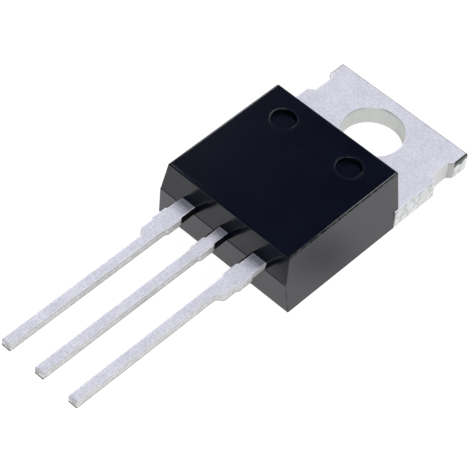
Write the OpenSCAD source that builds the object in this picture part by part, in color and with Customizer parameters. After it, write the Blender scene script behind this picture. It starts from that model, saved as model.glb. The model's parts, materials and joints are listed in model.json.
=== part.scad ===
// Thyristor in a three-lead power package with a screw-down metal tab.
//
// The origin is on the axis of the mounting hole, in the plane of the metal back.
// +Z points up through the moulding, +Y runs towards the free end of the tab and
// the three leads point along -Y. All lengths are in millimetres.

/* [Package] */
// Length of tab and moulding, from the moulding's front edge to the end of the tab
package_l = 15.75; // [15.2:0.05:16.4]
// Thickness from the metal back to the top of the moulding
package_h = 4.4; // [4.2:0.05:4.8]

/* [Moulding] */
// Width of the moulding at the back, where it is widest
body_w = 10.1; // [9.8:0.05:10.6]
// Length of the moulding at its foot, on top of the tab
body_l = 9.6; // [9:0.05:10]
// Height of the line where the two halves of the mould met
parting_z = 2.38; // [2.2:0.02:2.6]
// Draft of the two long sides, in degrees
side_draft = 5.3; // [2:0.1:8]
// Draft of the front above the parting line, in degrees
front_draft = 10.4; // [4:0.2:14]
// Draft of the front below the parting line, in degrees
under_draft = 6.5; // [2:0.5:9]
// Draft of the end that faces the hole, in degrees
back_draft = 4.7; // [2:0.1:8]
// Radius of the edges round the top face
edge_r = 0.13; // [0.08:0.01:0.3]
// Radius of the six upright corners
corner_r = 0.05; // [0.03:0.01:0.15]
// How far the top half overhangs the shoulders of the tab
overhang = 0.4; // [0.2:0.05:0.7]
// Thickness of the resin skin that the trimming tool leaves on the leads' facing edges
flash_t = 0.05; // [0.03:0.01:0.1]

/* [Ejector marks] */
// Diameter of each round mark that an ejector pin left in the top face
mark_d = 1.5; // [1.2:0.05:2]
// Depth of the marks
mark_depth = 0.25; // [0.1:0.01:0.4]
// Distance between the two marks
mark_spacing = 5; // [4:0.1:6]
// Distance of the marks from the foot of the moulding's back end
mark_inset = 2.05; // [1.6:0.05:3]

/* [Tab] */
// Thickness of the tab and of the whole header
tab_t = 1.3; // [1.2:0.02:1.4]
// Width of the tab where it leaves the moulding
tab_w = 10.1; // [9.8:0.05:10.4]
// Width between the two notches beside the hole
waist_w = 9.3; // [8.9:0.05:9.6]
// Width of the end of the tab
ear_w = 9.86; // [9.7:0.02:10.1]
// Length of that end, between the notches and the end face
ear_l = 1.15; // [0.9:0.05:1.3]
// Length of each notch between the feet of its slopes
waist_l = 1.3; // [1:0.05:1.5]
// Length of the slope at each end of a notch
waist_slope = 0.32; // [0.2:0.02:0.4]
// Diameter of the mounting hole
hole_d = 3.8; // [3.5:0.05:4]
// Distance from the hole's centre to the end of the tab
hole_to_end = 2.82; // [2.6:0.02:3]
// Corner radius of the stamped outline
stamp_r = 0.05; // [0.03:0.01:0.2]

/* [Header inside the moulding] */
// Width of the header under the silicon
slug_w = 8.6; // [8.2:0.05:9]
// Distance from the moulding's front edge to the header
slug_inset = 1.6; // [1.4:0.05:2]
// Width of the ledge that is coined round the underside to hold the resin
ledge_w = 0.35; // [0.2:0.05:0.5]
// Height of that ledge above the back
ledge_z = 0.65; // [0.4:0.05:0.8]
// Width of the locking groove across the top of the header
groove_w = 0.6; // [0.3:0.05:0.8]
// Distance from the shoulders of the tab to the middle of the groove
groove_inset = 0.75; // [0.6:0.05:0.9]

/* [Leads] */
// Distance between neighbouring leads
pitch = 2.54; // [2.5:0.01:2.6]
// Thickness of the lead strip
lead_t = 0.5; // [0.4:0.02:0.6]
// Width of a pin
pin_w = 0.66; // [0.6:0.02:0.76]
// Length of the leads outside the moulding
lead_l = 13.9; // [6:0.1:15]
// Width of the outer leads where they leave the moulding
neck_w = 1.04; // [0.9:0.02:1.2]
// How far the cut ends of the tie bar stand out of the lead's edges
stub_h = 0.1; // [0.04:0.02:0.16]
// Distance from the moulding to the cut tie bar
stub_start = 1; // [0.8:0.05:1.2]
// Width of the cut tie bar
stub_l = 1.18; // [1:0.02:1.4]
// Distance from the moulding to the end of an outer lead's shoulder
shoulder_l = 3.13; // [2.8:0.05:3.6]
// Length of the slope from the shoulder to the pin
shoulder_slope = 0.35; // [0.2:0.05:0.6]
// Radius of the rolled edge at the tip of a pin
tip_r = 0.18; // [0.06:0.02:0.3]

/* [Leads inside the moulding] */
// Width of the pad that a wire is bonded to
post_w = 2.1; // [1.7:0.05:2.3]
// Length of that pad
post_l = 1.9; // [1.6:0.05:2.2]
// Distance from the moulding's front edge to that pad
post_inset = 0.5; // [0.4:0.05:0.7]
// Width of the strap that joins the middle lead to the header
strap_w = 1.6; // [1.2:0.05:1.8]
// Steepness of the strap, in degrees
strap_angle = 75; // [60:1:80]
// Radius of the strap's bends, at the middle of its thickness
strap_r = 0.45; // [0.35:0.01:0.5]

/* [Silicon and bonds] */
// Side of the square thyristor die
die_w = 3.4; // [2.8:0.1:3.8]
// Thickness of the die
die_t = 0.28; // [0.2:0.02:0.36]
// Distance from the front of the header to the middle of the die
die_inset = 3.3; // [3.1:0.05:3.6]
// Width of the etched step round the top of the die
mesa_w = 0.22; // [0.1:0.02:0.3]
// Depth of that step
mesa_depth = 0.09; // [0.05:0.01:0.14]
// Thickness of the solder under the die
solder_t = 0.05; // [0.03:0.01:0.1]
// Width of the solder that shows round the die
solder_rim = 0.12; // [0.04:0.02:0.2]
// Diameter of the two cathode wires
cathode_wire_d = 0.38; // [0.25:0.01:0.45]
// Distance between the two cathode wires on the cathode pad
cathode_wire_gap = 0.8; // [0.6:0.05:0.95]
// Diameter of the gate wire
gate_wire_d = 0.2; // [0.12:0.01:0.25]
// Steepness of a wire where it rises from the die, in degrees
wire_rise = 62; // [50:1:70]
// Steepness of a wire where it comes down to its lead, in degrees
wire_fall = 30; // [24:1:36]

/* [Hidden] */
$fn = 64;

eps = 0.01;              // how far a cutter runs past the face that it cuts
clear = 1;               // how far a profile is drawn out past the solid that it trims
corner_past = 0.2;       // how far the bar that rounds a corner reaches past it
corner_share = 0.45;     // largest share of a side that a rounded corner takes up
arc_steps = 6;           // flats in a rounded corner or in a bend
wire_sides = 12;         // sides of a bond wire
sink = 0.3;              // how much of a joined strap or neck runs inside its neighbour
bond_stagger = 0.2;      // how far each cathode wire's bond is shifted along its pad

// Stations along Y, from the tips of the leads to the end of the tab.
tab_end_y = hole_to_end;
front_y = tab_end_y - package_l;
back_y = front_y + body_l;
shoulder_y = back_y - overhang;
slug_y = front_y + slug_inset;
die_y = slug_y + die_inset;
ear_y = tab_end_y - ear_l;
waist_y = ear_y - 2 * waist_slope - waist_l;

// Heights above the metal back.
lead_top = parting_z + lead_t;
die_z = tab_t + solder_t;
die_top = die_z + die_t;

// The strap drops from the lead's height to lie flush with the top of the header.
strap_drop = lead_top - tab_t;
strap_flat = (strap_drop - 2 * strap_r * (1 - cos(strap_angle))) / sin(strap_angle);
strap_run = 2 * strap_r * sin(strap_angle) + strap_flat * cos(strap_angle);

// Radii of the leads' outlines: the cut tie bar, the foot and the top of the shoulder.
stub_r = 0.4 * stub_h;
foot_r = shoulder_slope / 2;
brow_r = shoulder_slope / 4;

// Where the wires are bonded: the cathode's metal left of the die's middle, the gate's
// near the die's right front corner, and the middle of each lead's pad.
post_y = front_y + post_inset + post_l / 2;
cathode_bond = [-0.16 * die_w, die_y];
gate_bond = [0.34 * die_w, die_y - 0.34 * die_w];

// ---- Outlines ------------------------------------------------------------

function unit(v) = v / norm(v);

// One corner p between its neighbours a and b, as an arc of radius r.
function corner(p, a, b, r) =
    r == 0 ? [p] :
    let (
        u = unit(a - p),
        v = unit(b - p),
        half = acos(u * v) / 2,
        reach = min(r / tan(half), corner_share * min(norm(a - p), norm(b - p))),
        centre = p + unit(u + v) * reach / cos(half),
        start = p + u * reach - centre,
        turn = (180 - 2 * half) * (cross(u, v) < 0 ? 1 : -1)
    )
    [for (k = [0:arc_steps])
        let (w = turn * k / arc_steps)
        centre + [start.x * cos(w) - start.y * sin(w), start.x * sin(w) + start.y * cos(w)]];

// A closed outline from points [x, y, corner radius].
function outline(pts) =
    let (n = len(pts))
    [for (i = [0:n - 1])
        let (p = pts[i], a = pts[(i + n - 1) % n], b = pts[(i + 1) % n])
        each corner([p.x, p.y], [a.x, a.y], [b.x, b.y], p.z)];

// The same points on the other side of the Y axis, in the order that closes an outline.
function mirrored(pts) =
    [for (i = [len(pts) - 1:-1:0]) [-pts[i].x, pts[i].y, pts[i].z]];

// Draws in the Y-Z plane and extrudes along X, or in the X-Z plane and extrudes along Y.
module along_x(w) { rotate([90, 0, 90]) linear_extrude(w, center = true) children(); }
module along_y(y0, y1) {
    translate([0, y1, 0]) rotate([90, 0, 0]) linear_extrude(y1 - y0) children();
}

// ---- Moulding ------------------------------------------------------------

// Two outlines meet at right angles: the side view gives the parting line, the drafts of
// both ends and the overhang, the front view gives the drafts of the long sides.
module drafted_block() {
    rise = package_h - parting_z;
    intersection() {
        along_x(body_w + clear) polygon(outline([
            [front_y + parting_z * tan(under_draft), 0, 0],
            [shoulder_y, 0, 0],
            [shoulder_y, tab_t, 0],
            [back_y, tab_t, 0],
            [back_y - (package_h - tab_t) * tan(back_draft), package_h, edge_r],
            [front_y + rise * tan(front_draft), package_h, edge_r],
            [front_y, parting_z, 0]]));
        along_y(front_y - clear, back_y + clear) polygon(outline([
            [body_w / 2, 0, 0],
            [side_x(package_h), package_h, edge_r],
            [-side_x(package_h), package_h, edge_r],
            [-body_w / 2, 0, 0]]));
    }
}

// Half width of the moulding at a height.
function side_x(z) = body_w / 2 - z * tan(side_draft);

// Rounds the corner where a long side meets an end face. The corner runs through the
// point foot, and end_normal points out of the end face. The bar that is cut away is
// drawn across the corner, with the side's normal as its first axis.
module corner_round(foot, end_normal) {
    side_normal = [cos(side_draft), 0, sin(side_draft)];
    up = unit(cross(side_normal, end_normal) * (end_normal.y < 0 ? -1 : 1));
    across = cross(up, side_normal);
    end = [side_normal * end_normal, across * end_normal];
    turn = acos(end.x) * sign(end.y);
    centre = [-corner_r, -corner_r * (1 - end.x) / end.y];
    past = corner_past;
    multmatrix([
        [side_normal.x, across.x, up.x, foot.x],
        [side_normal.y, across.y, up.y, foot.y],
        [side_normal.z, across.z, up.z, foot.z]])
        linear_extrude(2 * package_h, center = true) polygon(concat(
            [for (k = [0:arc_steps])
                let (w = turn * k / arc_steps) centre + corner_r * [cos(w), sin(w)]],
            [centre + (corner_r + past) * end, [past, sign(end.y) * past],
                centre + [corner_r + past, 0]]));
}

module body_envelope() {
    parting_corner = [side_x(parting_z), front_y, parting_z];
    back_corner = [side_x(tab_t), back_y, tab_t];
    difference() {
        drafted_block();
        for (side = [0, 1]) mirror([side, 0, 0]) {
            corner_round(parting_corner, [0, -cos(front_draft), sin(front_draft)]);
            corner_round(parting_corner, [0, -cos(under_draft), -sin(under_draft)]);
            corner_round(back_corner, [0, cos(back_draft), sin(back_draft)]);
        }
    }
}

// Resin that crept out between the leads is punched away, but a skin stays on the edges
// that face each other, from the moulding to the cut tie bar.
module dam_flash() {
    skin_l = stub_start + post_inset;
    for (side = [0, 1]) mirror([side, 0, 0])
        for (x = [pin_w / 2, pitch - pin_w / 2 - flash_t])
            translate([x, front_y - stub_start, parting_z]) cube([flash_t, skin_l, lead_t]);
}

module ejector_marks() {
    for (side = [-1, 1])
        translate([side * mark_spacing / 2, back_y - mark_inset, package_h - mark_depth])
            cylinder(d = mark_d, h = mark_depth + eps);
}

// The resin fills whatever the metal, the silicon and the wires leave free.
module mould_body() {
    color([0.07, 0.07, 0.09]) difference() {
        union() {
            body_envelope();
            dam_flash();
        }
        ejector_marks();
        anode_shape();
        side_lead_shape(-1);
        side_lead_shape(1);
        solder_shape();
        die_shape();
        cathode_wires_shape();
        gate_wire_shape();
    }
}

// ---- Tab, header and middle lead -----------------------------------------

module header_outline() {
    half = [
        [slug_w / 2, slug_y, stamp_r],
        [slug_w / 2, shoulder_y, 0],
        [tab_w / 2, shoulder_y, 0],
        [tab_w / 2, waist_y, stamp_r],
        [waist_w / 2, waist_y + waist_slope, stamp_r],
        [waist_w / 2, ear_y - waist_slope, stamp_r],
        [ear_w / 2, ear_y, stamp_r],
        [ear_w / 2, tab_end_y, stamp_r]];
    polygon(outline(concat(half, mirrored(half))));
}

// The ledge runs round both sides and the front of the header's underside and leaves a
// narrower pad in the plane of the back.
module ledge_cut() {
    pad_w = slug_w - 2 * ledge_w;
    slug_l = shoulder_y - slug_y;
    difference() {
        translate([-slug_w / 2 - eps, slug_y - eps, -eps])
            cube([slug_w + 2 * eps, slug_l + eps, ledge_z + eps]);
        translate([-pad_w / 2, slug_y + ledge_w, -2 * eps])
            cube([pad_w, slug_l, ledge_z + 3 * eps]);
    }
}

// A square bar on its corner cuts the V across the top of the header.
module lock_groove() {
    translate([0, shoulder_y - groove_inset, tab_t])
        rotate([45, 0, 0])
            cube([slug_w + clear, groove_w / sqrt(2), groove_w / sqrt(2)], center = true);
}

module header() {
    difference() {
        linear_extrude(tab_t) header_outline();
        ledge_cut();
        lock_groove();
        translate([0, 0, -eps]) cylinder(d = hole_d, h = tab_t + 2 * eps);
    }
}

// Side view of the strap: two equal bends with a steep flat between them.
module strap() {
    y0 = slug_y - strap_run;
    inner = strap_r - lead_t / 2;
    outer = strap_r + lead_t / 2;
    zc = lead_top - lead_t / 2;
    upper = [y0, zc - strap_r];
    lower = [slug_y, zc - strap_drop + strap_r];
    function arc(c, r, a0, a1) =
        [for (k = [0:arc_steps]) let (a = a0 + (a1 - a0) * k / arc_steps) c + r * [cos(a), sin(a)]];
    along_x(strap_w) polygon(concat(
        [[y0 - sink, lead_top]],
        arc(upper, outer, 90, 90 - strap_angle),
        arc(lower, inner, 270 - strap_angle, 270),
        [[slug_y + sink, tab_t], [slug_y + sink, tab_t - lead_t]],
        arc(lower, outer, 270, 270 - strap_angle),
        arc(upper, inner, 90 - strap_angle, 90),
        [[y0 - sink, parting_z]]));
}

module anode_shape() {
    header();
    strap();
    middle_lead();
}

module anode_tab() { color([0.80, 0.80, 0.84]) anode_shape(); }

// ---- Leads ---------------------------------------------------------------

// Side view of the strip, which gives every pin the rolled edge of its cut tip.
module lead_strip(w) {
    along_x(w) polygon(outline([
        [front_y - lead_l, parting_z, 0],
        [slug_y + post_l, parting_z, 0],
        [slug_y + post_l, lead_top, 0],
        [front_y - lead_l, lead_top, tip_r]]));
}

// Half of a lead, from its tip to the moulding. The edge lies at pin_edge on the pin and
// at neck_edge along the neck, with the cut tie bar standing out by stub_h.
function lead_edge(pin_edge, neck_edge) =
    concat(
        [[pin_edge, front_y - lead_l, 0]],
        neck_edge > pin_edge ? [
            [pin_edge, front_y - shoulder_l - shoulder_slope, foot_r],
            [neck_edge, front_y - shoulder_l, brow_r]] : [],
        [
            [neck_edge, front_y - stub_start - stub_l, 0],
            [neck_edge + stub_h, front_y - stub_start - stub_l, stub_r],
            [neck_edge + stub_h, front_y - stub_start, stub_r],
            [neck_edge, front_y - stub_start, 0]]);

// An outer lead keeps the pin's line on its inner edge and widens outwards. Inside the
// moulding it ends in a broad pad for the wire.
module side_lead_shape(side) {
    post_y0 = front_y + post_inset;
    out = lead_edge(pin_w / 2, neck_w - pin_w / 2);
    inner = lead_edge(pin_w / 2, pin_w / 2);
    pad = [
        [neck_w - pin_w / 2, post_y0, 0],
        [post_w / 2, post_y0, stamp_r],
        [post_w / 2, post_y0 + post_l, stamp_r],
        [-post_w / 2, post_y0 + post_l, stamp_r],
        [-post_w / 2, post_y0, stamp_r],
        [-pin_w / 2, post_y0, 0]];
    intersection() {
        translate([side * pitch, 0, 0]) mirror([side < 0 ? 1 : 0, 0, 0])
            linear_extrude(lead_top + clear) polygon(outline(concat(out, pad, mirrored(inner))));
        lead_strip(4 * pitch);
    }
}

module cathode_lead() { color([0.80, 0.80, 0.84]) side_lead_shape(-1); }
module gate_lead() { color([0.80, 0.80, 0.84]) side_lead_shape(1); }

// The middle lead has the same edge on both sides and widens into the strap.
module middle_lead() {
    y0 = slug_y - strap_run;
    half = concat(lead_edge(pin_w / 2, pin_w / 2), [
        [pin_w / 2, y0 - sink, 0],
        [strap_w / 2, y0 - sink, 0],
        [strap_w / 2, y0, 0]]);
    intersection() {
        linear_extrude(lead_top + clear) polygon(outline(concat(half, mirrored(half))));
        lead_strip(2 * pitch);
    }
}

// ---- Silicon and bonds ---------------------------------------------------

module centred_block(w, h) { translate([-w / 2, -w / 2, 0]) cube([w, w, h]); }

module solder_shape() {
    translate([0, die_y, tab_t]) centred_block(die_w + 2 * solder_rim, solder_t);
}

module die_shape() {
    translate([0, die_y, die_z]) {
        centred_block(die_w, die_t - mesa_depth);
        centred_block(die_w - 2 * mesa_w, die_t);
    }
}

module silicon_die() { color([0.35, 0.37, 0.42]) die_shape(); }
module die_solder() { color([0.62, 0.62, 0.60]) solder_shape(); }

// A wire follows steps in the X-Z plane: [length] goes straight and [radius, angle] bends,
// upwards where the angle is positive. Each station is [x, z, heading].
function bend_station(at, r, turn) =
    let (up = sign(turn), h = at.z + turn)
    [at.x + up * r * (sin(h) - sin(at.z)), at.y + up * r * (cos(at.z) - cos(h)), h];

function stations(steps, at = [0, 0, 0], i = 0) =
    i == len(steps) ? [at] :
    let (s = steps[i])
    len(s) == 1 ?
        concat([at], stations(steps, at + s[0] * [cos(at.z), sin(at.z), 0], i + 1)) :
        concat(
            [for (k = [0:arc_steps - 1]) bend_station(at, s[0], s[1] * k / arc_steps)],
            stations(steps, bend_station(at, s[0], s[1]), i + 1));

// A round wire through those stations, closed with a flat at each end.
module wire_run(steps, d) {
    way = stations(steps);
    n = wire_sides;
    last = (len(way) - 1) * n;
    points = [for (p = way) for (j = [0:n - 1])
        let (w = 360 * (j + 0.5) / n, out = d / 2 * sin(w))
        [p.x - out * sin(p.z), d / 2 * cos(w), p.y + out * cos(p.z)]];
    sides = [for (i = [0:n:last - n]) for (j = [0:n - 1])
        let (k = (j + 1) % n) [i + j, i + n + j, i + n + k, i + k]];
    polyhedron(points, concat(sides,
        [[for (j = [0:n - 1]) j]], [[for (j = [n - 1:-1:0]) last + j]]));
}

// A bonded wire from the die to a lead: a flat foot, a bend up, the loop's top, a long
// fall and the second foot. The two straight stretches are solved so that the feet land
// on their pads.
module bond_wire(from, to, d) {
    foot = 2.2 * d;              // length of a bonded foot
    r1 = 1.5 * d;                // bends next to the feet
    r2 = 2.5 * d;                // bend at the top of the loop
    squash = 0.36 * d;           // height of the wire's middle above its pad
    span = norm(to - from);
    drop = lead_top - die_top;
    run = span - foot - r1 * (sin(wire_rise) + sin(wire_fall))
        - r2 * (sin(wire_rise) + sin(wire_fall));
    climb = drop - r1 * (1 - cos(wire_rise)) - r2 * (cos(wire_fall) - cos(wire_rise))
        + r1 * (1 - cos(wire_fall));
    whole = sin(wire_rise + wire_fall);
    up_l = (run * sin(wire_fall) + climb * cos(wire_fall)) / whole;
    down_l = (run * sin(wire_rise) - climb * cos(wire_rise)) / whole;
    difference() {
        translate([from.x, from.y, die_top + squash])
            rotate([0, 0, atan2(to.y - from.y, to.x - from.x)])
                translate([-foot / 2, 0, 0]) wire_run([
                    [foot], [r1, wire_rise], [up_l], [r2, -(wire_rise + wire_fall)],
                    [down_l], [r1, wire_fall], [foot]], d);
        die_shape();
        side_lead_shape(sign(to.x));
    }
}

module cathode_wires_shape() {
    for (k = [-1, 1])
        bond_wire(cathode_bond + k * [-cathode_wire_gap * 0.5, cathode_wire_gap * 0.5],
            [-pitch - k * cathode_wire_gap * 0.5, post_y - k * bond_stagger], cathode_wire_d);
}

module gate_wire_shape() {
    bond_wire(gate_bond, [pitch, post_y], gate_wire_d);
}

module cathode_wires() { color([0.85, 0.85, 0.86]) cathode_wires_shape(); }
module gate_wire() { color([0.85, 0.85, 0.86]) gate_wire_shape(); }

mould_body();
anode_tab();
cathode_lead();
gate_lead();
silicon_die();
die_solder();
cathode_wires();
gate_wire();
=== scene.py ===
# %% [markdown]
# # A thyristor in a three-lead power package
# The part is a black resin block on a metal tab, with three flat leads in a row. The packed
# CAD model is the frame: it fixes every size and place. This script makes the pieces that
# show a finer shape and a real surface, and leaves the sealed pieces where the CAD has them.

import json
import math

import bmesh
import bpy
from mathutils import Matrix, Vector

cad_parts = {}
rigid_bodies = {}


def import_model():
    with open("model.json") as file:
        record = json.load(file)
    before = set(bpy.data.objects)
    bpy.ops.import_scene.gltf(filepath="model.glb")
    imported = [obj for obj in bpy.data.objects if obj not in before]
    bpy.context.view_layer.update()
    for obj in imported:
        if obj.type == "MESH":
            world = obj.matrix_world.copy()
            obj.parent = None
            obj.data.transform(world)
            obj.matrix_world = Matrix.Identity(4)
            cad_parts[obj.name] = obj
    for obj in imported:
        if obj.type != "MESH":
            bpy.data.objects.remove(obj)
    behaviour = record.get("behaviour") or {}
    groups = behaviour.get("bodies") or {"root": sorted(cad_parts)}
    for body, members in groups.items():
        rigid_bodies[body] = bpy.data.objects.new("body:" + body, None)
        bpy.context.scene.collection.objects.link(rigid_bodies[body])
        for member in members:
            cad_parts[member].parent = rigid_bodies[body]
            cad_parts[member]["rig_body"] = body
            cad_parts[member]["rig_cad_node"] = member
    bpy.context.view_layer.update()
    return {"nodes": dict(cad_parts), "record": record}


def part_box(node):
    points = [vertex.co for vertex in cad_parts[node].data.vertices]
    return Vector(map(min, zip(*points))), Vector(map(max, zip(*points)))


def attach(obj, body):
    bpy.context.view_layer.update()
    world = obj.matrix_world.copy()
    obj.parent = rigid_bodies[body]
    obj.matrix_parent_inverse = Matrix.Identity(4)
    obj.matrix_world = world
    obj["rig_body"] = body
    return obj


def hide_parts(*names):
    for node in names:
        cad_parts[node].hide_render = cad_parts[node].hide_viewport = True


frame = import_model()
MM = 0.001                             # one millimetre in metres

# %% [markdown]
# The part is modelled at a thousand times its size, so that one unit of Blender is one
# millimetre, and shrunk to metres at the very end. Bevels and booleans work with small
# tolerances that suit a model of a few units and spoil one of a few thousandths.
# The main stations are read from the frame, and only what the frame can't say is a number.

# %% Stations from the frame


def box_mm(node):
    """The lowest and highest corner of a CAD node, in millimetres."""
    low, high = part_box(node)
    return low / MM, high / MM


_, body_high = box_mm("mould_body")
_, tab_high = box_mm("anode_tab")
lead_low, lead_high = box_mm("cathode_lead")
hole = next(m for m in frame["record"]["mounts"] if m["name"] == "mounting_hole")

package_l = 15.75                      # tab and moulding together
pitch = 2.54                           # from lead to lead
tab_t = hole["dims"]["length_mm"]      # thickness of the tab
front_y = tab_high.y - package_l       # the moulding's front edge
back_y = body_high.y                   # the foot of its back end
top_z = body_high.z
half_w = body_high.x
parting_z = lead_low.z                 # the leads lie on the parting line
lead_top = lead_high.z
lead_t = lead_top - parting_z
tip_y = lead_low.y
print(f"front {front_y:.2f}, back {back_y:.2f}, tip {tip_y:.2f}")
print(f"leads from {parting_z:.2f} up to {lead_top:.2f}, top {top_z:.2f}, half width {half_w:.2f}")

# %% [markdown]
# ## The camera
# A long lens, about 13 centimetres away, looks down on the part from the front and from
# the right. A long lens keeps parallel edges nearly parallel, which suits so small a part.
# The place, the turn and the lens belong together: a change to one moves every corner.

# %% Camera
CAMERA_PLACE = (0.05353, -0.07805, 0.10419)
CAMERA_TURN = (0.6900, -0.0685, 0.7621)
CAMERA_LENS = 182.6
SENSOR_W = 36
NEAREST = 0.001                        # nothing closer than this is drawn, in metres

lens = bpy.data.cameras.new("camera")
lens.lens = CAMERA_LENS
lens.sensor_width = SENSOR_W
lens.clip_start = NEAREST
camera = bpy.data.objects.new("camera", lens)
camera.location = CAMERA_PLACE
camera.rotation_euler = CAMERA_TURN
bpy.context.scene.collection.objects.link(camera)
bpy.context.scene.camera = camera
print("camera looks along", [round(c, 2) for c in camera.matrix_basis.to_3x3() @ Vector((0, 0, -1))])

# %% [markdown]
# ## Hands for modelling
# An operator works on what is selected, in the mode that is active. These small helpers do
# what a hand does before each step: leave edit mode, drop the old selection, take one
# object, and pick faces or edges by where they are. A vertex is worth picking by its
# place, a face by its normal, and an edge by its middle.

# %% Helpers for objects


def settle():
    """Leaves edit mode and drops the selection."""
    if bpy.context.mode != "OBJECT":
        bpy.ops.object.mode_set(mode="OBJECT")
    bpy.ops.object.select_all(action="DESELECT")


def take(obj):
    """Makes one object the only selected one."""
    settle()
    obj.select_set(True)
    bpy.context.view_layer.objects.active = obj


def edit(obj):
    """Opens an object in edit mode."""
    take(obj)
    bpy.ops.object.mode_set(mode="EDIT")


def start_block(name, low, high):
    """Adds a cube that fills the space between two corners."""
    settle()
    low, high = Vector(low), Vector(high)
    bpy.ops.mesh.primitive_cube_add(size=1, location=(low + high) / 2, scale=high - low)
    obj = bpy.context.object
    obj.name = obj.data.name = name
    bpy.ops.object.transform_apply(location=True, rotation=True, scale=True)
    return obj


def start_pin(place, radius, height, sides):
    """Adds an upright cylinder that serves as a cutting tool."""
    settle()
    bpy.ops.mesh.primitive_cylinder_add(vertices=sides, radius=radius, depth=height, location=place)
    bpy.ops.object.transform_apply(location=True, rotation=True, scale=True)
    return bpy.context.object


def apply_modifier(obj, kind, **settings):
    """Adds a modifier with its settings and applies it at once."""
    take(obj)
    modifier = obj.modifiers.new(kind.lower(), kind)
    for name, value in settings.items():
        setattr(modifier, name, value)
    bpy.ops.object.modifier_apply(modifier=modifier.name)


def rescale(obj, factor):
    """Scales a mesh about the origin and keeps the object itself unscaled."""
    take(obj)
    obj.scale = (factor,) * 3
    bpy.ops.object.transform_apply(location=True, rotation=True, scale=True)


def drop(obj):
    """Deletes a helper object and its mesh."""
    mesh = obj.data
    bpy.data.objects.remove(obj)
    bpy.data.meshes.remove(mesh)


def report(obj, done):
    """Prints what was done to a piece, how many faces it has and if it is closed."""
    mesh = bmesh.new()
    mesh.from_mesh(obj.data)
    closed = all(len(e.link_faces) == 2 for e in mesh.edges)
    print(f"{obj.name}, {done}: {len(mesh.faces)} faces, closed: {closed}")
    mesh.free()


# %% [markdown]
# In edit mode an operator changes only what is selected. Bmesh shows the mesh while it is
# being edited, so a test in code can do what the mouse does in the window. The operators
# that are needed again and again get short names: pull, shift, stretch and cut.

# %% Helpers for edit mode
TINY = 1e-5                            # two points closer than this are one
NEAR = 0.004                           # two stations closer than this are the same
FACING = 0.9                           # a normal with more than this on an axis looks that way


def middle(part):
    """The middle of a vertex, an edge or a face."""
    if isinstance(part, bmesh.types.BMVert):
        return part.co
    if isinstance(part, bmesh.types.BMEdge):
        return (part.verts[0].co + part.verts[1].co) / 2
    return part.calc_center_median()


def near(a, b, gap=NEAR):
    """True where two numbers differ by less than a gap."""
    return abs(a - b) < gap


def choose(kind, test):
    """Selects the vertices, edges or faces that pass a test, and nothing else."""
    bpy.ops.mesh.select_mode(type=kind)
    bpy.ops.mesh.select_all(action="DESELECT")
    data = bpy.context.object.data
    mesh = bmesh.from_edit_mesh(data)
    mesh.normal_update()
    for part in {"VERT": mesh.verts, "EDGE": mesh.edges, "FACE": mesh.faces}[kind]:
        if test(part):
            part.select_set(True)
    mesh.select_flush_mode()
    bmesh.update_edit_mesh(data)


def choose_all():
    """Selects everything in edit mode."""
    bpy.ops.mesh.select_all(action="SELECT")


def pull(move):
    """Extrudes the selected faces by a distance."""
    bpy.ops.mesh.extrude_region_move(TRANSFORM_OT_translate={"value": move})


def shift(move):
    """Moves what is selected."""
    bpy.ops.transform.translate(value=move)


def stretch(factors, centre):
    """Scales what is selected about a point."""
    bpy.ops.transform.resize(value=factors, center_override=centre)


def cut_at(point, normal):
    """Cuts the selected faces along a plane."""
    bpy.ops.mesh.bisect(plane_co=point, plane_no=normal, threshold=TINY)


# %% [markdown]
# A bevel is only as good as its selection. These tests tell an edge by the turn between its
# two faces, by its height and by its slope. Cuts leave flat faces in many parts, which a
# later bevel would trip over, so there is a helper that merges them again.

# %% Helpers for edges and solids
SHARP_TURN = 0.5                       # radians between two faces that make an edge a sharp one
STEEP = 0.6                            # rise of an edge, as a share of its length
IN_PLANE = math.radians(0.2)           # faces that differ by less lie in one plane


def sharp(edge):
    """True where two faces meet at a clear angle."""
    return edge.calc_face_angle(0) > SHARP_TURN


def level(edge, z):
    """True for an edge that lies at a height."""
    return near(edge.verts[0].co.z, z) and near(edge.verts[1].co.z, z)


def upright(edge):
    """True for an edge that climbs more than it runs."""
    span = edge.verts[0].co - edge.verts[1].co
    return abs(span.z) > STEEP * span.length


def round_over(radius, segments, test):
    """Rounds the edges that pass a test."""
    choose("EDGE", test)
    bpy.ops.mesh.bevel(offset=radius, segments=segments, affect="EDGES", profile=0.5)


def tidy_faces(obj):
    """Turns all faces outwards and merges those that lie in one plane."""
    edit(obj)
    choose_all()
    bpy.ops.mesh.normals_make_consistent(inside=False)
    bpy.ops.mesh.dissolve_limited(angle_limit=IN_PLANE)
    settle()


def combine(obj, tool, how):
    """Joins a tool to an object or cuts it out, and deletes the tool."""
    apply_modifier(obj, "BOOLEAN", object=tool, operation=how, solver="EXACT")
    drop(tool)


# %% [markdown]
# ## The moulding
# The resin block is pressed in a two-part mould. Every wall leans a little, so that the
# part falls out of the mould, and the lean changes at the parting line, where the leads
# come out. It could be lofted between outlines, but a cube with a few cuts is enough: the
# block is cut at the heights where its outline changes, and each ring of vertices is then
# moved to its own width.

# %% Moulding: the leaning block
SIDE_LEAN = math.tan(math.radians(5.3))
FRONT_LEAN = math.tan(math.radians(10.4))
UNDER_LEAN = math.tan(math.radians(6.5))
BACK_LEAN = math.tan(math.radians(4.7))
OVERHANG = 0.4                         # the top half reaches out over the tab's shoulders
LIP_H = 0.006                          # the lips round the ejector marks are the highest spots
shoulder_y = back_y - OVERHANG
crown_z = top_z - LIP_H                # height of the flat top


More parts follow.
